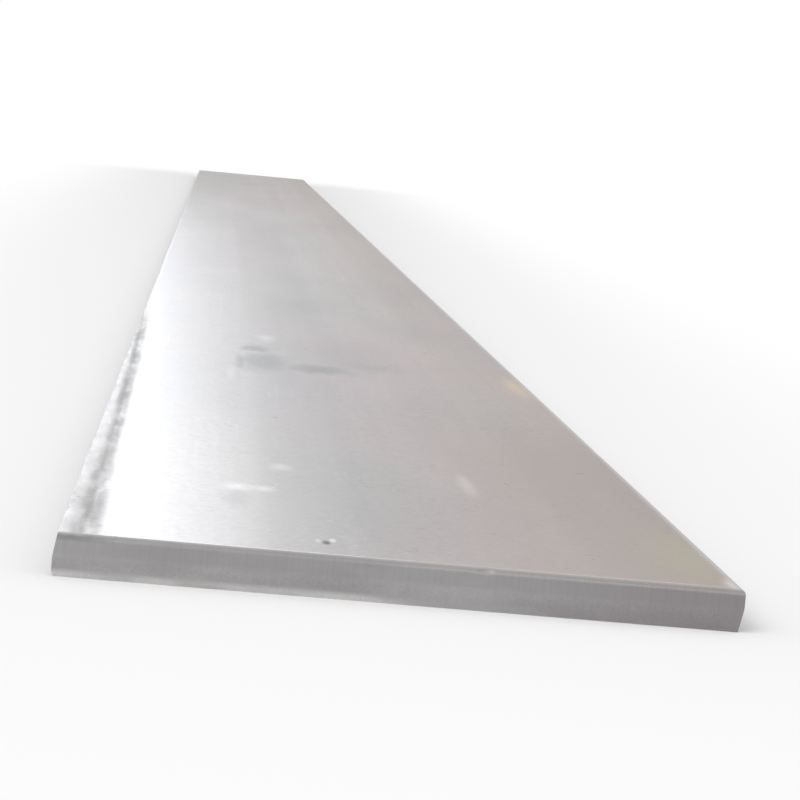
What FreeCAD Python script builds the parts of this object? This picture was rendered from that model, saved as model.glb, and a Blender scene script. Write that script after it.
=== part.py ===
"""Steel flat bar: one length of hot-rolled flat, slit and cut to length on a guillotine shear.

Millimetres, +Z up. The bar lies on its broad face with its length along Y and its width along X.
The origin is under the middle of the bar, on the level it rests on. The near end is at -Y.

A shear leaves the same four zones on every cut face, from one broad face to the other:
a rolled-over corner, a straight burnished band, and a rougher fracture that leans in by the
clearance between the blades and ends at a sharp corner. A strip is sheared once on each side,
so its two edges are the same cut turned half a turn: the corner that is rolled over is the
upper one on the right and the lower one on the left. The two ends are cut in the same way.
"""

import FreeCAD, Part
import os

# Stock size
WIDTH = 250.0
THICKNESS = 16.0
LENGTH = 6000.0

# Sheared edges, along the two long sides
EDGE_ROLLOVER_DROP = 2.4
EDGE_ROLLOVER_REACH = 3.0
EDGE_BURNISH_HEIGHT = 4.6
EDGE_BLADE_CLEARANCE = 1.4

# Sheared ends, where the strip was cut to length
END_ROLLOVER_DROP = 2.2
END_ROLLOVER_REACH = 2.8
END_BURNISH_HEIGHT = 5.0
END_BLADE_CLEARANCE = 1.2

ORIGIN = FreeCAD.Vector(0, 0, 0)
UP = FreeCAD.Vector(0, 0, 1)
QUARTER_TURN = 90.0


def rolled_over_corner(start, corner, end):
    """The soft corner that the blade pulls down: a curve tangent to both faces that meet there."""
    curve = Part.BezierCurve()
    curve.setPoles([start, corner, end])
    return curve.toShape()


def sheared_outline(span, drop, reach, burnish, clearance):
    """Outline in the XZ plane of a strip cut on both sides. Its +X side has the upper rollover."""
    half_span = span / 2

    def point(x, z):
        return FreeCAD.Vector(x, 0, z)

    # The cut on the right, from the top face down
    right_cut = [
        point(half_span - reach, THICKNESS),
        point(half_span, THICKNESS),
        point(half_span, THICKNESS - drop),
        point(half_span, THICKNESS - drop - burnish),
        point(half_span - clearance, 0),
    ]
    # The same cut after half a turn about the middle of the section
    left_cut = [point(-p.x, THICKNESS - p.z) for p in right_cut]

    edges = []
    for cut, other in ((right_cut, left_cut), (left_cut, right_cut)):
        top, corner, band_start, band_end, sharp = cut
        edges.append(rolled_over_corner(top, corner, band_start))
        edges.append(Part.makeLine(band_start, band_end))
        edges.append(Part.makeLine(band_end, sharp))
        edges.append(Part.makeLine(sharp, other[0]))
    return Part.Face(Part.Wire(edges))


def prism(outline, length):
    """The outline drawn out along Y, centred on the origin."""
    solid = outline.extrude(FreeCAD.Vector(0, length, 0))
    solid.translate(FreeCAD.Vector(0, -length / 2, 0))
    return solid


def slit_strip():
    """The strip as it leaves the slitting cuts, with a crop left on each end for the cuts to length."""
    end_crop = THICKNESS
    outline = sheared_outline(
        WIDTH,
        EDGE_ROLLOVER_DROP,
        EDGE_ROLLOVER_REACH,
        EDGE_BURNISH_HEIGHT,
        EDGE_BLADE_CLEARANCE,
    )
    return prism(outline, LENGTH + 2 * end_crop)


def length_cuts():
    """What the two cuts to length leave standing: a prism across the strip, past both its edges."""
    blade_overhang = THICKNESS
    outline = sheared_outline(
        LENGTH,
        END_ROLLOVER_DROP,
        END_ROLLOVER_REACH,
        END_BURNISH_HEIGHT,
        END_BLADE_CLEARANCE,
    )
    solid = prism(outline, WIDTH + 2 * blade_overhang)
    # Turned so that the side with the upper rollover is the near end, at -Y
    solid.rotate(ORIGIN, UP, -QUARTER_TURN)
    return solid


def flat_bar():
    """The strip, cut square to its length."""
    return slit_strip().common(length_cuts())


os.makedirs("parts", exist_ok=True)
bar = flat_bar()
bar.Solids[0].exportStep("parts/flat_bar.step")
box = bar.BoundBox
print(
    f"flat_bar: {len(bar.Solids)} solid, {len(bar.Faces)} faces, valid {bar.isValid()}, "
    f"{box.XLength:.2f} x {box.YLength:.2f} x {box.ZLength:.2f} mm, volume {bar.Volume:.0f} mm3"
)
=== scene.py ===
"""Steel flat bar: one length of hot-rolled flat with sheared edges and ends, lying on the floor.

Metres, in the frame of the CAD model: +Y runs along the length with the near end at -Y, +X across
the width and +Z up. The bar is one piece, so the scene has one piece, a floor, lights and a camera.
"""

import math

import bpy
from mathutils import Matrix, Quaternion, Vector


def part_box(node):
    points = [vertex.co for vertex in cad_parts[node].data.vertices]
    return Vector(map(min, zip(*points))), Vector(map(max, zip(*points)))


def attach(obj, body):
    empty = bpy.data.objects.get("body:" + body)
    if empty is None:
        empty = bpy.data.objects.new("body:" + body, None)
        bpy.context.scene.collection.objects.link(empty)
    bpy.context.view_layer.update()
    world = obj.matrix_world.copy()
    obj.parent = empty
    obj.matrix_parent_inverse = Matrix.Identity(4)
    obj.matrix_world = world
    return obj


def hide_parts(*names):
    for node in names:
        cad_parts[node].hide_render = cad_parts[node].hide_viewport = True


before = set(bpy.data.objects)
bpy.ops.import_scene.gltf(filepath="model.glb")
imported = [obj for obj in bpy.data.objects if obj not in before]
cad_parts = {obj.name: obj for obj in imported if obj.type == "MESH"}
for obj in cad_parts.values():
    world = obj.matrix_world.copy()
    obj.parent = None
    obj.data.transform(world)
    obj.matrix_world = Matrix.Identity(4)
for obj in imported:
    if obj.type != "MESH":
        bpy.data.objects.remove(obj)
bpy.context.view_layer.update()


# The bar, its shape
# One piece of steel: rolled hot to 16 mm, slit to 250 mm on a guillotine shear and cut to length
# on the same shear. Each cut face has a rolled-over corner, a straight burnished band and a rough
# fracture that leans in and ends in a sharp, slightly burred corner.

lowest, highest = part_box("flat_bar")
bar_width = highest.x - lowest.x
bar_length = highest.y - lowest.y
bar_thickness = highest.z - lowest.z
half_width = bar_width / 2
half_length = bar_length / 2

edge_cut = {
    "rollover drop": 0.0024,
    "rollover reach": 0.0030,
    "burnish height": 0.0046,
    "blade clearance": 0.0014,
}
end_cut = {
    "rollover drop": 0.0022,
    "rollover reach": 0.0028,
    "burnish height": 0.0050,
    "blade clearance": 0.0012,
}


class Wire:
    """One socket of a node tree. Arithmetic on it adds the Math nodes."""

    def __init__(self, tree, socket=None):
        self.tree = tree
        self.socket = socket

    def node(self, kind, settings, inputs, output=0):
        """Any node: its settings are set first, then the values or links of its sockets."""
        made = self.tree.nodes.new(kind)
        for name, value in settings.items():
            setattr(made, name, value)
        for name, value in inputs.items():
            if isinstance(value, Wire):
                self.tree.links.new(value.socket, made.inputs[name])
            else:
                made.inputs[name].default_value = value
        return Wire(self.tree, made.outputs[output])

    def out(self, name):
        """Another output of the node that this socket is on."""
        return Wire(self.tree, self.socket.node.outputs[name])

    def math(self, operation, *values):
        """A Math node on wires or numbers."""
        return self.node("ShaderNodeMath", {"operation": operation}, dict(enumerate(values)))

    def __add__(self, other):
        return self.math("ADD", self, other)

    def __sub__(self, other):
        return self.math("SUBTRACT", self, other)

    def __rsub__(self, other):
        return self.math("SUBTRACT", other, self)

    def __mul__(self, other):
        return self.math("MULTIPLY", self, other)

    def __truediv__(self, other):
        return self.math("DIVIDE", self, other)

    def __rtruediv__(self, other):
        return self.math("DIVIDE", other, self)

    def __pow__(self, other):
        return self.math("POWER", self, other)

    def __gt__(self, other):
        return self.math("GREATER_THAN", self, other)

    def __lt__(self, other):
        return self.math("LESS_THAN", self, other)

    def __abs__(self):
        return self.math("ABSOLUTE", self)

    __radd__ = __add__
    __rmul__ = __mul__

    def rise(self, low, high):
        """0 below low and 1 above high, with a smooth step between them."""
        inputs = {"Value": self, "From Min": low, "From Max": high}
        return self.node("ShaderNodeMapRange", {"interpolation_type": "SMOOTHSTEP"}, inputs)

    def noise(self, place, scale, detail=2.0, roughness=0.5):
        """Noise from 0 to 1 about 0.5 at a place, with a scale for each axis per metre."""
        stretched = self.node("ShaderNodeVectorMath", {"operation": "MULTIPLY"}, {0: place, 1: scale})
        inputs = {"Vector": stretched, "Scale": 1.0, "Detail": detail, "Roughness": roughness}
        return self.node("ShaderNodeTexNoise", {}, inputs, "Fac")


shape_tree = bpy.data.node_groups.new("sheared_flat_bar", "GeometryNodeTree")
shape_tree.interface.new_socket("Bar", in_out="OUTPUT", socket_type="NodeSocketGeometry")
grid_lines = {"Columns": 140, "Rows": 271, "Layers": 22}
last_row = grid_lines["Rows"] - 1
end_crowding = 3.0
edge_crowding = 0.35


def grid_share(line):
    """Where a grid line across the bar lies, as a share of its half length, from its number."""
    return math.tanh(end_crowding * (2 * line / last_row - 1)) / math.tanh(end_crowding)


# The long faces are baked in three lengths, which part at grid lines near the thirds
break_line = min(range(last_row + 1), key=lambda line: abs(grid_share(line) - 1 / 3))
shape_sizes = {"Width": bar_width, "Length": bar_length, "Thickness": bar_thickness}
for cut, zones in (("Edge", edge_cut), ("End", end_cut)):
    for zone, size in zones.items():
        shape_sizes[cut + " " + zone] = size
shape_sizes["End crowding"] = end_crowding
shape_sizes["Edge crowding"] = edge_crowding
shape_sizes["Bake row break"] = 2 * break_line / last_row - 1
shape_sizes["Fracture grain"] = 0.00030
shape_sizes["Burr"] = 0.00035
shape_sizes["Flatness"] = 0.00022
shape_sizes["Corner nick depth"] = 0.00045
shape_sizes["End nick depth"] = 0.0009
shape_sizes["Dent depth"] = 0.00005
sockets = {}


def add_input(name, kind):
    sockets[name] = shape_tree.interface.new_socket(name, in_out="INPUT", socket_type=kind)


for name in shape_sizes:
    add_input(name, "NodeSocketFloat")
for name in grid_lines:
    add_input(name, "NodeSocketInt")
add_input("Steel", "NodeSocketMaterial")

tree = Wire(shape_tree)
given = tree.node("NodeGroupInput", {}, {}, "Width")
width = given.out("Width")
length = given.out("Length")
thickness = given.out("Thickness")

block = tree.node(
    "GeometryNodeMeshCube",
    {},
    {
        "Size": (2.0, 2.0, 1.0),
        "Vertices X": given.out("Columns"),
        "Vertices Y": given.out("Rows"),
        "Vertices Z": given.out("Layers"),
    },
)

# Each point's place in the block: across and along from -1 to 1, and up from 0 to 1
across = tree.node("ShaderNodeSeparateXYZ", {}, {0: tree.node("GeometryNodeInputPosition", {}, {})})
along = across.out("Y")
up = across.out("Z") + 0.5
normal_x = tree.node("ShaderNodeSeparateXYZ", {}, {0: tree.node("GeometryNodeInputNormal", {}, {})})
normal_y = normal_x.out("Y")
normal_z = normal_x.out("Z")


def of_face(value):
    """A value at the middle of the face, for all its points alike."""
    return value.node("GeometryNodeFieldOnDomain", {"domain": "FACE"}, {"Value": value})


facing_x = of_face(normal_x)
facing_y = of_face(normal_y)
facing_z = of_face(normal_z)
is_broad = of_face(abs(normal_z))
is_end = of_face(abs(normal_y))
is_edge = of_face(abs(normal_x))
# The corner that is rolled over is the upper one on the right and at the near end
rolls_up = of_face((normal_x - normal_y) > 0.5)


def with_attribute(mesh, name, value, domain="FACE", kind="FLOAT"):
    """The mesh with a named value stored on its faces or their corners."""
    settings = {"data_type": kind, "domain": domain}
    inputs = {"Geometry": mesh, "Name": name, "Value": value}
    return tree.node("GeometryNodeStoreNamedAttribute", settings, inputs)


marked = with_attribute(block, "cut_face", 1 - is_broad)
marked = with_attribute(marked, "end_face", is_end)
marked = with_attribute(marked, "rolls_up", rolls_up)

# Grid lines crowd towards the edges and ends, where the shape changes
edge_crowd = given.out("Edge crowding")
end_crowd = given.out("End crowding")
share_x = across * ((1 + edge_crowd) - edge_crowd * across * across)
share_y = tree.math("TANH", end_crowd * along) / tree.math("TANH", end_crowd)
height = thickness * up * up * (3 - 2 * up)

# The map that the colours are baked to: both ends, then the edges and the broad faces in rows
lengths = 3
map_side = 1024.0
gap = 9.0 / map_side
end_high = 46.0 / map_side
edge_high = 11.0 / map_side
broad_high = 124.0 / map_side
row_break = given.out("Bake row break")
half_break = tree.math("TANH", end_crowd * row_break) / tree.math("TANH", end_crowd)
middle_y = of_face(along)
in_second = middle_y > (0 - row_break)
in_third = middle_y > row_break
row_start = in_second * (1 - half_break) + in_third * (2 * half_break) - 1
row_span = tree.math("MAXIMUM", 1 - half_break, 2 * half_break)
row_number = in_second + in_third
row_u = gap + (share_y - row_start) / row_span * (1 - 2 * gap)
end_u = gap + (1 - 2 * gap) * (0.5 - 0.5 * share_x * facing_y)
end_v = gap + (facing_y > 0) * (end_high + gap) + up * end_high
edges_from = 2 * (end_high + gap) + gap
edge_row = row_number + lengths * (facing_x < 0)
edge_share = 0.5 + (up - 0.5) * facing_x
edge_v = edges_from + edge_row * (edge_high + gap) + edge_share * edge_high
broads_from = edges_from + 2 * lengths * (edge_high + gap)
broad_row = row_number + lengths * (facing_z < 0)
broad_share = 0.5 - 0.5 * share_x * facing_z
broad_v = broads_from + broad_row * (broad_high + gap) + broad_share * broad_high
bake_u = is_end * end_u + (1 - is_end) * row_u
bake_v = is_end * end_v + is_edge * edge_v + is_broad * broad_v
bake_place = tree.node("ShaderNodeCombineXYZ", {}, {"X": bake_u, "Y": bake_v})
mapped = with_attribute(marked, "OFBake", bake_place, "CORNER", "FLOAT2")

# The sheared section: how far a cut face stands in, by its depth below the rolled-over corner
right_half = across > 0
near_half = along < 0
edge_depth = height + right_half * (thickness - 2 * height)
end_depth = height + near_half * (thickness - 2 * height)


def sheared_inset(depth, cut):
    """How far the cut face stands in at a depth: a rolled corner, a straight band, a lean."""
    drop = given.out(cut + " rollover drop")
    band_end = drop + given.out(cut + " burnish height")
    along_curve = tree.math("MINIMUM", depth / drop, 1.0) ** 0.5
    rolled = given.out(cut + " rollover reach") * (1 - along_curve) * (1 - along_curve)
    leaning = tree.math("MAXIMUM", (depth - band_end) / (thickness - band_end), 0.0)
    return rolled + given.out(cut + " blade clearance") * leaning


x = share_x * (width * 0.5 - sheared_inset(edge_depth, "Edge"))
y = share_y * (length * 0.5 - sheared_inset(end_depth, "End"))
true_place = tree.node("ShaderNodeCombineXYZ", {}, {"X": x, "Y": y, "Z": height})


def sheared_relief(depth, cut):
    """What the shear leaves: a torn, grainy fracture, faint drag lines, a broken burr, nicks."""
    band_end = given.out(cut + " rollover drop") + given.out(cut + " burnish height")
    torn = depth.rise(band_end - 0.0007, band_end + 0.0022)
    # Fine grain only near the ends, where the grid is close enough to carry it
    close_grid = abs(along).rise(0.84, 0.96)
    grain = close_grid * (tree.noise(true_place, (300.0, 300.0, 420.0), 2.0, 0.6) - 0.5)
    drag = close_grid * (tree.noise(true_place, (420.0, 420.0, 30.0), 1.0) - 0.5)
    wander = tree.noise(true_place, (34.0, 9.0, 60.0), 1.0) - 0.5
    roughened = given.out("Fracture grain") * (torn * (grain + wander) + 0.28 * drag)
    sharp = depth.rise(thickness - 0.0011, thickness)
    broken = tree.noise(true_place, (140.0, 24.0, 20.0), 2.0, 0.6).rise(0.42, 0.72)
    burred = given.out("Burr") * broken * sharp
    # Nicks from handling in both corners, the rolled-over one and the sharp one
    struck = tree.noise(true_place, (95.0, 22.0, 12.0), 1.0).rise(0.66, 0.76)
    at_corner = (1 - depth.rise(0.0, 0.0026)) + depth.rise(thickness - 0.0016, thickness)
    return roughened + burred - given.out("Corner nick depth") * struck * at_corner


def distance_to(from_x, from_y, centre_x, centre_y, half_x, half_y):
    """How far a point is from the middle of a patch, in half sizes of the patch."""
    dx = (from_x - centre_x) / half_x
    dy = (from_y - centre_y) / half_y
    return (dx * dx + dy * dy) ** 0.5


# A point of the block whose place is past this share is on its outer face
rim = 0.9999
on_edge = abs(across) > rim
on_end = abs(along) > rim
edge_relief = on_edge * across * sheared_relief(edge_depth, "Edge")
near_nick = 1 - distance_to(x, y, 0.0305, -half_length, 0.0019, 0.0045).rise(0.2, 1.0)
nicked = given.out("End nick depth") * near_nick * (1 - end_depth.rise(0.0008, 0.0040))
end_relief = on_end * along * (sheared_relief(end_depth, "End") - nicked)

# The upper face is flat only to what hot rolling gives, and the lower one lies on the floor
slow = tree.noise(true_place, (6.0, 1.6, 0.0), 1.0) - 0.5
quick = tree.noise(true_place, (26.0, 9.0, 0.0), 1.0) - 0.5
dented = 1 - distance_to(x, y, -0.020, -2.190, 0.052, 0.090).rise(0.0, 1.0)
wave = given.out("Flatness") * (slow * 1.3 + quick * 0.16) - given.out("Dent depth") * dented
# A thin lip of the burr stands up along the two upper corners that are sharp
lip_share = 0.6
lip = tree.noise(true_place, (120.0, 24.0, 0.0), 2.0, 0.6).rise(0.45, 0.75) * given.out("Burr") * lip_share
sharp_corner = tree.math("MAXIMUM", across < -rim, along > rim)
z = height + up * wave + (up > rim) * sharp_corner * lip
place = tree.node("ShaderNodeCombineXYZ", {}, {"X": x + edge_relief, "Y": y + end_relief, "Z": z})
shaped = tree.node("GeometryNodeSetPosition", {}, {"Geometry": mapped, "Position": place})

# Smooth but for the sharp corners
sharp_turn = math.radians(38)
turn = tree.node("GeometryNodeInputMeshEdgeAngle", {}, {})
smooth = tree.node(
    "GeometryNodeSetShadeSmooth",
    {"domain": "FACE"},
    {"Geometry": shaped, "Shade Smooth": True},
)
smooth = tree.node(
    "GeometryNodeSetShadeSmooth",
    {"domain": "EDGE"},
    {"Geometry": smooth, "Selection": turn > sharp_turn, "Shade Smooth": False},
)
real = tree.node("GeometryNodeRealizeInstances", {}, {"Geometry": smooth})
dressed = tree.node("GeometryNodeSetMaterial", {}, {"Geometry": real, "Material": given.out("Steel")})
result = shape_tree.nodes.new("NodeGroupOutput")
shape_tree.links.new(dressed.socket, result.inputs["Bar"])


# The bar, its finish
# Grey mill scale on both broad faces, with lengthwise rolling marks, under a thin film of warm
# dust and oxide, and rubbed lighter along the long edges. The cut faces are bare steel, dulled
# since they were sheared, with painted shade that darkens them towards the right.

steel = bpy.data.materials.new("hot_rolled_steel")
steel.use_nodes = True
steel.node_tree.nodes.clear()
paint = Wire(steel.node_tree)
spot_at = paint.node("ShaderNodeTexCoord", {}, {}, "Object")
at_x = paint.node("ShaderNodeSeparateXYZ", {}, {0: spot_at})
at_y = at_x.out("Y")
at_z = at_x.out("Z")
on_top = at_z > bar_thickness * 0.6


def face_value(name):
    """What the shape stored for the face under that name."""
    return paint.node("ShaderNodeAttribute", {"attribute_name": name}, {}, "Fac")


def blend(factor, first, second):
    """Two colours mixed, either of them a colour or a wire."""
    settings = {"data_type": "RGBA"}
    return paint.node("ShaderNodeMix", settings, {0: factor, 6: first, 7: second}, 2)


def toned(tint, factor):
    """A colour made lighter or darker."""
    return paint.node("ShaderNodeVectorMath", {"operation": "SCALE"}, {0: tint, "Scale": factor})


border_noise = paint.noise(spot_at, (110.0, 26.0, 0.0), 3.0, 0.6) - 0.5


def mark(centre_x, centre_y, half_x, half_y, softness=0.5, ragged=0.0):
    """A patch on the upper face: 1 in its middle and 0 outside its border."""
    away = distance_to(at_x, at_y, centre_x, centre_y, half_x, half_y)
    if ragged:
        away = away + ragged * border_noise
    return (1 - away.rise(1 - softness, 1 + 0.2 * softness)) * on_top


def marks(joining, *patches):
    """Patches joined by a Math operation. Each gives its strength, then what mark() takes."""
    field = 0.0
    for strength, *patch in patches:
        field = paint.math(joining, field, strength * mark(*patch))
    return field


cut_face = face_value("cut_face")
end_face = face_value("end_face")
depth = at_z + face_value("rolls_up") * (bar_thickness - 2 * at_z)

# Mill scale
scale_dark = (0.112, 0.100, 0.097, 1)
scale_warm = (0.152, 0.130, 0.120, 1)
mottle = paint.noise(spot_at, (11.0, 2.6, 60.0), 3.0, 0.55)
rolled_lines = paint.noise(spot_at, (230.0, 1.1, 230.0), 3.0, 0.6)
broad_lines = paint.noise(spot_at, (46.0, 0.35, 46.0), 2.0, 0.5)
fine = paint.noise(spot_at, (620.0, 48.0, 620.0), 2.0, 0.6)
speckle = paint.noise(spot_at, (340.0, 230.0, 340.0), 3.0, 0.62)
scale_tone = 1 + 0.20 * (rolled_lines - 0.5) + 0.16 * (broad_lines - 0.5)
scale_tone = scale_tone + 0.30 * (fine - 0.5) + 0.40 * (speckle - 0.5)
scale_colour = toned(blend(mottle.rise(0.36, 0.66), scale_dark, scale_warm), scale_tone)
scale_roughness = 0.286 + 0.04 * (mottle - 0.5) + 0.04 * (rolled_lines - 0.5) + 0.02 * (fine - 0.5)

# Dust and fine oxide that has settled on it, more of it towards the right edge
film_mauve = (0.425, 0.276, 0.296, 1)
film_grey = (0.362, 0.334, 0.308, 1)
film_brown = (0.310, 0.215, 0.178, 1)
settled = paint.noise(spot_at, (13.0, 3.4, 40.0), 2.0, 0.5)
film_grain = paint.noise(spot_at, (110.0, 17.0, 110.0), 1.0, 0.5)
drift = 0.25 * (at_x + 0.02) / half_width + 0.10 * at_y.rise(-1.6, 2.6)
film = (0.5 + 0.5 * (settled - 0.5) + drift).rise(0.22, 0.98) * 0.70
film = film + 0.16 * (film_grain - 0.3) + 0.20 * (speckle - 0.5)
hue = paint.noise(spot_at, (9.0, 2.4, 20.0), 1.0)
film_colour = blend(hue.rise(0.38, 0.62), film_mauve, film_grey)
film_colour = blend((at_x + 0.06 * (mottle - 0.5)).rise(0.02, 0.13), film_colour, film_brown)
colour = blend(film, scale_colour, film_colour)
rough = scale_roughness + film * 0.05

# A darker band left of the middle, and a paler part in the near left corner
dark_band = (at_x.rise(-0.056, -0.040) - at_x.rise(-0.012, 0.034)) * (1 - at_y.rise(-0.6, 0.8))
paler_corner = (1 - at_x.rise(-0.058, -0.044)) * (1 - at_y.rise(-2.72, -2.45))
colour = toned(colour, 1 - 0.18 * dark_band + 0.32 * paler_corner)

# Rust bloom in small freckles
freckle_rust = (0.235, 0.118, 0.060, 1)
freckle_field = paint.noise(spot_at, (52.0, 21.0, 52.0), 3.0, 0.6)
freckle = paint.noise(spot_at, (330.0, 220.0, 330.0), 3.0, 0.62)
rust = (freckle + 0.75 * (freckle_field - 0.5)).rise(0.66, 0.82) * 0.55
colour = blend(rust, colour, freckle_rust)
rough = rough + rust * 0.2

# Places where the scale has flaked off
flaked_steel = (0.27, 0.25, 0.24, 1)
flake = paint.noise(spot_at, (150.0, 75.0, 150.0), 4.0, 0.62).rise(0.665, 0.690)
colour = blend(flake * 0.55, colour, flaked_steel)

# Scratches across and along
scratched_steel = (0.42, 0.41, 0.40, 1)
cross_scratch = paint.noise(spot_at, (24.0, 900.0, 24.0), 1.0).rise(0.76, 0.80)
long_scratch = paint.noise(spot_at, (1300.0, 6.0, 40.0), 1.0).rise(0.75, 0.79)
scratch = (cross_scratch + long_scratch) * 0.5
colour = blend(scratch, colour, scratched_steel)

# The marks of this bar. A patch has its centre across and along, half sizes, softness, raggedness

# A dark smudge across the middle, with a brighter rub above it and another beside it
smudge_grime = (0.040, 0.038, 0.040, 1)
rubbed_scale = (0.62, 0.61, 0.61, 1)
smudge = marks(
    "MAXIMUM",
    (0.82, -0.0385, -2.205, 0.0225, 0.110, 0.8, 0.6),
    (0.88, -0.0430, -2.108, 0.0160, 0.048, 0.9, 0.9),
    (0.75, -0.0540, -2.212, 0.0052, 0.082, 0.9, 0.8),
    (0.85, -0.0080, -2.229, 0.0300, 0.046, 0.9, 0.9),
    (0.45, 0.0220, -2.182, 0.0350, 0.052, 1.0, 0.9),
    (0.42, -0.0290, -2.270, 0.0190, 0.200, 1.0, 0.6),
)
colour = blend(smudge, colour, smudge_grime)
rough = rough + smudge * 0.14
rubs = marks(
    "ADD",
    (1.0, -0.0354, -2.011, 0.0080, 0.040, 0.9, 0.4),
    (0.5, -0.0600, -2.298, 0.0036, 0.060, 0.9, 0.4),
)
colour = blend(rubs * 0.32, colour, rubbed_scale)

# A browner part towards the near right corner with a yellow stain in it, and an orange spot
# further up the right edge
browner_tone = (0.150, 0.068, 0.025, 1)
stain_yellow = (0.215, 0.170, 0.045, 1)
spot_orange = (0.50, 0.33, 0.13, 1)
brown = (at_x + 0.02 * (mottle - 0.5)).rise(-0.020, 0.110) * (1 - at_y.rise(-2.76, -2.30))
colour = blend(brown * 0.62, colour, browner_tone)
yellow = mark(0.1130, -2.930, 0.0150, 0.085, 0.8, 0.5)
colour = blend(yellow * 0.65, colour, stain_yellow)
orange = mark(0.1165, -2.238, 0.0095, 0.080, 0.9, 0.6)
colour = blend(orange * 0.75, colour, spot_orange)

# A pale scuff, and short light scrapes with a dull place in front of them
scuff_pale = (0.62, 0.56, 0.55, 1)
scrape_bright = (0.66, 0.65, 0.64, 1)
dulled_scale = (0.05, 0.048, 0.050, 1)
scuff = mark(0.0427, -2.757, 0.0048, 0.044, 0.9, 0.5)
colour = blend(scuff * 0.40, colour, scuff_pale)
scrape = marks(
    "ADD",
    (1.0, -0.0585, -2.829, 0.0085, 0.0150, 0.9, 0.7),
    (0.8, -0.0475, -2.828, 0.0068, 0.0130, 0.9, 0.7),
    (0.6, -0.0391, -2.749, 0.0058, 0.0160, 0.9, 0.7),
)
colour = blend(scrape * 0.56, colour, scrape_bright)
dull = mark(-0.0590, -2.868, 0.0070, 0.034, 0.9, 0.5)
colour = blend(dull * 0.24, colour, dulled_scale)
rough = rough + dull * 0.05

# The near right corner, worn, with a painted highlight; a small pit with a bright rim by the near end
corner_wear_highlight_colour = (0.62, 0.60, 0.58, 1)
rim_bright = (0.70, 0.69, 0.67, 1)
pit_dark = (0.020, 0.018, 0.018, 1)
corner_wear_highlight = mark(0.1225, -2.992, 0.0050, 0.020, 0.8, 0.6)
colour = blend(corner_wear_highlight * 0.6, colour, corner_wear_highlight_colour)
pit_rim = marks(
    "ADD",
    (1.0, -0.0240, -2.963, 0.0016, 0.0060, 0.5),
    (0.5, -0.0296, -2.966, 0.0012, 0.0050, 0.5),
)
colour = blend(pit_rim * 0.5, colour, rim_bright)
pit = mark(-0.0266, -2.970, 0.0020, 0.0064, 0.8)
colour = blend(pit * 0.9, colour, pit_dark)
rough = rough + pit * 0.30

# A dark line beside the left edge, running out to the edge, and a grey strip outside it
line_grey = (0.16, 0.16, 0.155, 1)
strip_grey = (0.33, 0.325, 0.32, 1)
from_bend = at_y + 2.80
line_x = -0.1150 - 0.0032 * from_bend - 0.0052 * from_bend * from_bend
off_line = at_x - line_x + 0.0024 * (paint.noise(spot_at, (0.0, 9.0, 0.0), 3.0) - 0.5)
line_half = 0.0036 + 0.0022 * (1 - at_y.rise(-2.96, -2.70))
dark_line = 1 - (abs(off_line) / line_half).rise(0.25, 1.30)
dark_line = dark_line * (0.30 + 0.70 * paint.noise(spot_at, (60.0, 9.0, 0.0), 4.0, 0.7).rise(0.36, 0.62))
dark_line = dark_line * (1 - at_y.rise(-2.1, -1.5)) * on_top
colour = blend(dark_line * 0.62, colour, line_grey)
rough = rough + dark_line * 0.19
strip = (1 - (off_line / 0.0012).rise(-1.0, 0.4)) * (1 - at_y.rise(-2.0, -1.2)) * on_top
strip = strip * (0.55 + 0.45 * paint.noise(spot_at, (300.0, 30.0, 0.0), 2.0).rise(0.35, 0.6))
colour = blend(strip * 0.40, colour, strip_grey)
rough = rough + strip * 0.10

# Long edges of the broad faces, polished by handling
polished_edge = (0.40, 0.39, 0.38, 1)
in_from_side = half_width - abs(at_x)
worn_noise = paint.noise(spot_at, (60.0, 18.0, 60.0), 3.0, 0.6)
worn = 1 - (in_from_side + 0.0040 * (worn_noise - 0.5)).rise(0.0016, 0.0052)
colour = blend(worn * 0.45, colour, polished_edge)

# The grain of the scale, which shows through dust, stains and marks alike
grain = 1 + 0.34 * (rolled_lines - 0.5) + 0.60 * (speckle - 0.5) + 0.34 * (broad_lines - 0.5)
colour = toned(colour, grain)

# Sheared faces
burnished_steel = (0.365, 0.362, 0.360, 1)
torn_steel = (0.445, 0.438, 0.434, 1)
tarnish_and_shade_steel = (0.262, 0.246, 0.252, 1)
mauve_shade_steel = (0.215, 0.186, 0.203, 1)
lit_lip = (0.420, 0.400, 0.395, 1)
lip_dark_grey = (0.12, 0.12, 0.12, 1)
foot_highlight_colour = (0.66, 0.65, 0.645, 1)
cut_dust = (0.46, 0.44, 0.425, 1)


def of_cut(zone):
    """A size of the cut that the face was made by, an edge's or an end's."""
    return edge_cut[zone] + (end_cut[zone] - edge_cut[zone]) * end_face


drop = of_cut("rollover drop")
band_end = drop + of_cut("burnish height")
bare = cut_face * (depth + 0.0005 * (fine - 0.5)).rise(drop * 0.05, drop * 0.55)
torn_border = depth + 0.0022 * (paint.noise(spot_at, (120.0, 120.0, 120.0), 2.0) - 0.5)
torn = torn_border.rise(band_end - 0.0006, band_end + 0.0016)
drag_lines = paint.noise(spot_at, (900.0, 900.0, 22.0), 3.0, 0.6)
tear_grain = paint.noise(spot_at, (1100.0, 1100.0, 1300.0), 3.0, 0.65)
clouds = paint.noise(spot_at, (21.0, 21.0, 60.0), 3.0, 0.55)
bare_colour = blend(torn, burnished_steel, torn_steel)
# Tarnish in clouds, plus painted shade: darker towards the right, on the ends darker and mauve
tarnish_and_shade = clouds.rise(0.30, 0.72) * 0.5 + 0.22 + 0.28 * (at_x / bar_width + 0.5)
bare_colour = blend(tarnish_and_shade * 0.8, bare_colour, tarnish_and_shade_steel)
bare_colour = blend(end_face * at_x.rise(0.02, 0.10) * 0.42, bare_colour, mauve_shade_steel)
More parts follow.
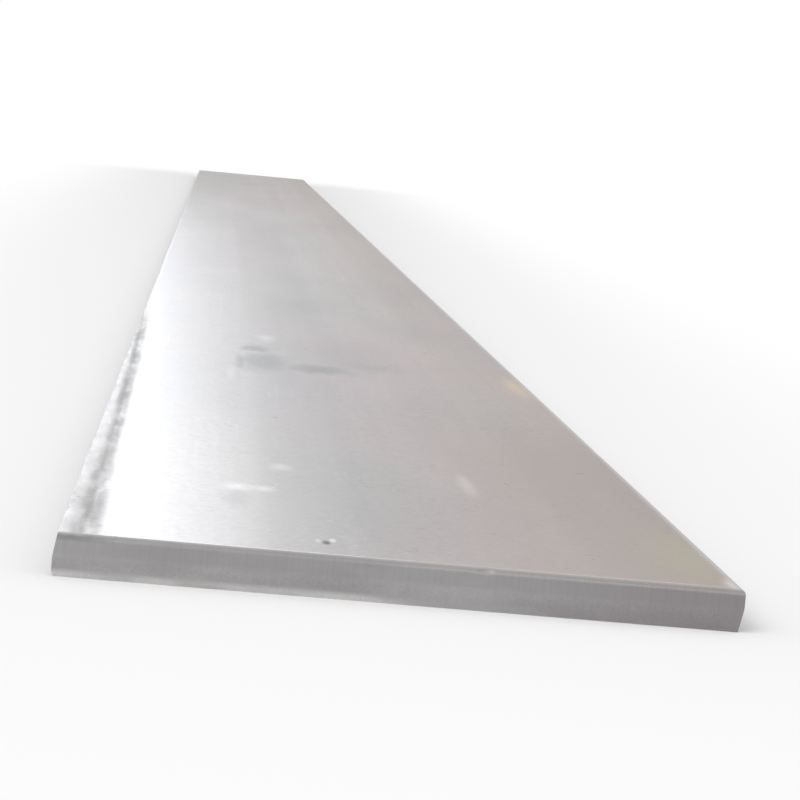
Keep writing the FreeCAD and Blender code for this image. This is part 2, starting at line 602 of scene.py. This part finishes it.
# On the ends: a painted highlight under the upper corner, dark at its left, and another along the foot
lip_highlight = end_face * at_x.rise(-0.035, 0.030) * (1 - depth.rise(0.0016, 0.0028))
bare_colour = blend(lip_highlight * 0.5, bare_colour, lit_lip)
dark_lip = end_face * (1 - at_x.rise(-0.119, -0.098)) * (1 - depth.rise(0.0012, 0.0032))
bare_colour = blend(dark_lip * 0.6, bare_colour, lip_dark_grey)
foot_highlight = end_face * (1 - at_x.rise(-0.03, 0.07)) * depth.rise(bar_thickness - 0.0036, bar_thickness - 0.0012)
bare_colour = blend(foot_highlight * clouds.rise(0.35, 0.60) * 0.7, bare_colour, foot_highlight_colour)
bare_tone = 1 + 0.22 * (drag_lines - 0.5) * (1 - 0.6 * torn) + 0.42 * (tear_grain - 0.5) * torn
bare_colour = toned(bare_colour, bare_tone)
bare_rough = 0.40 + 0.14 * torn + 0.12 * (clouds - 0.5) + 0.10 * (tear_grain - 0.5)
colour = blend(cut_face * 0.7, colour, cut_dust)
colour = blend(bare, colour, bare_colour)
rough = rough + bare * (bare_rough - rough)

# Fine relief: rolling lines and pits in the scale, drag lines and torn grain in the cuts
skin = 0.000006 * rolled_lines + 0.000003 * fine + 0.000004 * speckle
skin = skin - 0.000012 * rust - 0.000010 * flake - 0.000008 * scratch
cut_skin = 0.00006 * drag_lines * (1 - 0.7 * torn) + 0.00013 * tear_grain * torn
relief = skin * (1 - bare) + cut_skin * bare
bumped = paint.node("ShaderNodeBump", {}, {"Strength": 1.0, "Distance": 1.0, "Height": relief})

least_roughness = 0.282
bare_metal = 0.75
shader = paint.node(
    "ShaderNodeBsdfPrincipled",
    {},
    {
        "Base Color": colour,
        "Roughness": paint.math("MAXIMUM", rough, least_roughness),
        "Metallic": bare * bare_metal,
        "Normal": bumped,
        "IOR": 2.1,
    },
)
surface_out = steel.node_tree.nodes.new("ShaderNodeOutputMaterial")
steel.node_tree.links.new(shader.socket, surface_out.inputs["Surface"])

# The shape with its finish, as one plain mesh
draft = bpy.data.objects.new("bar_draft", bpy.data.meshes.new("bar_draft"))
bpy.context.scene.collection.objects.link(draft)
shear = draft.modifiers.new("shear", "NODES")
shear.node_group = shape_tree
for name, value in {**shape_sizes, **grid_lines, "Steel": steel}.items():
    shear[sockets[name].identifier] = value
bpy.context.view_layer.update()
evaluated = draft.evaluated_get(bpy.context.evaluated_depsgraph_get())
bar = bpy.data.objects.new("hot_rolled_bar", bpy.data.meshes.new_from_object(evaluated))
bar.data.name = "hot_rolled_bar"
bpy.context.scene.collection.objects.link(bar)
draft.modifiers.remove(shear)
bpy.data.objects.remove(draft)

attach(bar, "root")
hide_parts("flat_bar")


# The floor
# A plain pale floor, matt, laid level. It keeps the bar's soft shadow and runs out into white
# all round.

floor_half = 60.0
floor_turns = [(-1, -1), (1, -1), (1, 1), (-1, 1)]
floor_points = [(floor_half * turn_x, floor_half * turn_y, 0.0) for turn_x, turn_y in floor_turns]
floor_mesh = bpy.data.meshes.new("studio_floor")
floor_mesh.from_pydata(floor_points, [], [(0, 1, 2, 3)])
floor = bpy.data.objects.new("studio_floor", floor_mesh)
bpy.context.scene.collection.objects.link(floor)

floor_paint = bpy.data.materials.new("pale_floor")
floor_paint.use_nodes = True
floor_paint.node_tree.nodes.clear()
ground = Wire(floor_paint.node_tree)
ground_at = ground.node("ShaderNodeTexCoord", {}, {}, "Object")
ground_x = ground.node("ShaderNodeSeparateXYZ", {}, {0: ground_at})
ground_y = ground_x.out("Y")
beyond_side = ground.math("MAXIMUM", abs(ground_x) - half_width, 0.0)
beyond_end = ground.math("MAXIMUM", abs(ground_y) - half_length, 0.0)
from_bar = (beyond_side * beyond_side + 0.3 * beyond_end * beyond_end) ** 0.5
matte = ground.node("ShaderNodeBsdfDiffuse", {}, {"Color": (0.95, 0.95, 0.95, 1)})
white = ground.node("ShaderNodeEmission", {}, {"Color": (1, 1, 1, 1), "Strength": 1.0})
# White only to the eye and in reflections, so that it sheds no light on the bar
to_eye = ground.node("ShaderNodeLightPath", {}, {}, "Is Camera Ray")
looked_at = ground.math("MAXIMUM", to_eye, to_eye.out("Is Glossy Ray"))
whiter = from_bar.rise(0.015, 0.36) * looked_at
fading = ground.node("ShaderNodeMixShader", {}, {0: whiter, 1: matte, 2: white})
floor_out = floor_paint.node_tree.nodes.new("ShaderNodeOutputMaterial")
floor_paint.node_tree.links.new(fading.socket, floor_out.inputs["Surface"])
floor_mesh.materials.append(floor_paint)


# Light
# An even pale room, darker low down in reflections, and a large soft light high up to the front
# left. An upright panel over the far part of the bar is seen in reflections only: it is the glare
# along the left of the upper face.

world = bpy.data.worlds.new("studio_room")
world.use_nodes = True
world.node_tree.nodes.clear()
bpy.context.scene.world = world
room = Wire(world.node_tree)
seen = room.node("ShaderNodeLightPath", {}, {}, "Is Camera Ray")
mirrored = seen.out("Is Glossy Ray")
sky_x = room.node("ShaderNodeSeparateXYZ", {}, {0: room.node("ShaderNodeTexCoord", {}, {}, "Generated")})
rising = sky_x.out("Z")
left_half = 1 - sky_x.rise(-0.03, 0.05)
wall_level = 1.65
upper_dimming = 1.0
even_level = 0.78
low_level = left_half * (0.40 + 0.50 * rising.rise(0.04, 0.12))
reflected_level = low_level + (wall_level - low_level) * rising.rise(0.11, 0.20)
reflected_level = reflected_level - upper_dimming * rising.rise(0.28, 0.46)
level = seen + mirrored * reflected_level + (1 - seen) * (1 - mirrored) * even_level
background = room.node("ShaderNodeBackground", {}, {"Color": (1, 1, 1, 1), "Strength": level})
world_out = world.node_tree.nodes.new("ShaderNodeOutputWorld")
world.node_tree.links.new(background.socket, world_out.inputs["Surface"])


def soft_light(name, centre, target, size_x, size_y, radiance, lean=0.0):
    """A rectangular light of an even brightness, unseen by the camera."""
    lamp = bpy.data.lights.new(name, "AREA")
    lamp.shape = "RECTANGLE"
    lamp.size = size_x
    lamp.size_y = size_y
    lamp.energy = radiance * size_x * size_y * math.pi
    light = bpy.data.objects.new(name, lamp)
    light.location = centre
    light.rotation_mode = "QUATERNION"
    facing = (Vector(target) - Vector(centre)).to_track_quat("-Z", "Y")
    light.rotation_quaternion = facing @ Quaternion((0, 0, 1), lean)
    light.visible_camera = False
    bpy.context.scene.collection.objects.link(light)
    return light


soft_light(
    "overhead_left",
    centre=(-5.0, -8.5, 7.0),
    target=(0.0, -1.5, 0.0),
    size_x=6.0,
    size_y=6.0,
    radiance=3.2,
)
glare_panel = soft_light(
    "glare_panel",
    centre=(-0.125, 2.5, 1.60),
    target=(-0.125, 0.0, 1.60),
    size_x=0.57,
    size_y=2.20,
    radiance=2.62,
    lean=math.radians(19),
)
glare_panel.data.color = (0.895, 0.93, 1.0)
glare_panel.visible_diffuse = False


# Camera
# A metre off the near end and a little above it, left of the middle and tilted, as in the
# photograph, with the lens long enough for this bar alone to fill the picture.

camera_data = bpy.data.cameras.new("camera")
camera_data.sensor_width = 36.0
camera_data.lens = 133.3
camera_data.clip_start = 0.05
camera_data.clip_end = 300.0
camera = bpy.data.objects.new("camera", camera_data)
camera_place = Vector((-0.0778, -4.0499, 0.1719))
aim = Vector((0.0355, -2.3824, 0.016))
tilt = math.radians(5.340)
looking = (aim - camera_place).to_track_quat("-Z", "Y")
camera.location = camera_place
camera.rotation_mode = "QUATERNION"
camera.rotation_quaternion = looking @ Quaternion((0, 0, 1), tilt)
bpy.context.scene.collection.objects.link(camera)
bpy.context.scene.camera = camera

bpy.context.scene.view_settings.view_transform = "Standard"
